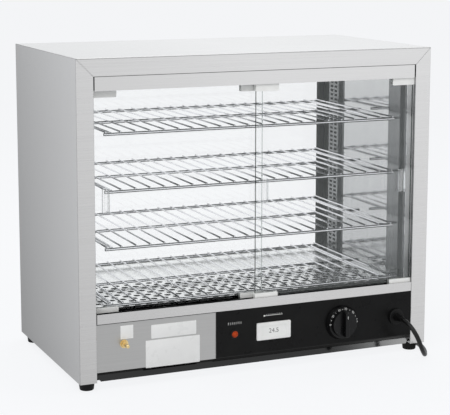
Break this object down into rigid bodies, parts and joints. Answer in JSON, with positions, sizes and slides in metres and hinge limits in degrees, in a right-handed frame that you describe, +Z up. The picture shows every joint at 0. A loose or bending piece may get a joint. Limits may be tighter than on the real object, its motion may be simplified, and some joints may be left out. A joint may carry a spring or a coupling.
{
  "type": "pie warmer",
  "caption": "Countertop heated food display cabinet: steel case on four feet, two sliding glass doors, glass back, four wire shelves over a pierced deck, knob, lamp and meter on the base.",
  "frame": {"origin": "on the floor, at the middle of the width, midway in depth between the knob's tip and the case's back", "axes": "+X to the right seen from the front, +Y towards the back, +Z up"},
  "size_m": [0.6483, 0.5423, 0.54],
  "materials": {
    "brushed_steel": "satin",
    "polished_steel": "polished",
    "black_gloss": "gloss",
    "black_plastic": "matte",
    "clear_glass": "clear",
    "clear_plastic": "clear",
    "white_plastic": "satin",
    "chrome_wire": "polished",
    "zinc_steel": "satin",
    "element_steel": "satin",
    "brass": "satin",
    "amber": "gloss",
    "display": "matte",
    "black_rubber": "matte"
  },
  "bodies": {
    "cabinet": {"left_side_panel": "brushed_steel", "right_side_panel": "brushed_steel", "top_panel": "brushed_steel", "left_liner": "polished_steel", "right_liner": "polished_steel", "top_liner": "polished_steel", "base_rails": "zinc_steel", "base_pan": "polished_steel", "fascia_panel": "brushed_steel", "control_panel": "black_gloss", "lower_rail": "brushed_steel", "lower_track": "black_plastic", "header_rail": "brushed_steel", "upper_track": "black_plastic", "rear_header": "brushed_steel", "rear_sill": "brushed_steel", "rear_glass": "clear_glass", "rear_glass_seal": "black_rubber", "rear_panel": "brushed_steel", "rear_screws": "zinc_steel", "deck": "polished_steel", "deck_ledges": "polished_steel", "left_uprights": "polished_steel", "right_uprights": "polished_steel", "shelf_1": "chrome_wire", "shelf_2": "chrome_wire", "shelf_3": "chrome_wire", "shelf_4": "chrome_wire", "heater_tray": "zinc_steel", "tray_supports": "zinc_steel", "heater_elements": "element_steel", "element_brackets": "zinc_steel", "thermostat": "zinc_steel", "sensor_bulb": "brass", "bulb_clips": "zinc_steel", "lamp_bezel": "black_gloss", "lamp_lens": "amber", "meter_case": "white_plastic", "meter_display": "display", "earth_stud": "brass", "earth_nuts": "brass", "gland": "black_plastic", "gland_nut": "black_plastic", "terminal_block": "white_plastic", "strain_relief": "black_rubber", "cord": "black_rubber", "cord_coil": "black_rubber", "plug": "black_rubber", "plug_pins": "brass", "feet": "black_rubber", "foot_screws": "zinc_steel"},
    "left_door": {"left_door_glass": "clear_glass", "left_door_glides": "white_plastic", "left_door_pull": "clear_plastic"},
    "right_door": {"right_door_glass": "clear_glass", "right_door_glides": "white_plastic", "right_door_pulls": "clear_plastic"},
    "knob": {"thermostat_shaft": "zinc_steel", "knob": "black_gloss"}
  },
  "joints": [
    {"name": "left_door_slide", "type": "slide", "parent": "cabinet", "child": "left_door", "axis": [1, 0, 0], "range_m": [0, 0.28]},
    {"name": "right_door_slide", "type": "slide", "parent": "cabinet", "child": "right_door", "axis": [-1, 0, 0], "range_m": [0, 0.28]},
    {"name": "knob_turn", "type": "hinge", "parent": "cabinet", "child": "knob", "pos_m": [0.153, -0.163, 0.069], "axis": [0, 1, 0], "range_deg": [0, 280]}
  ]
}
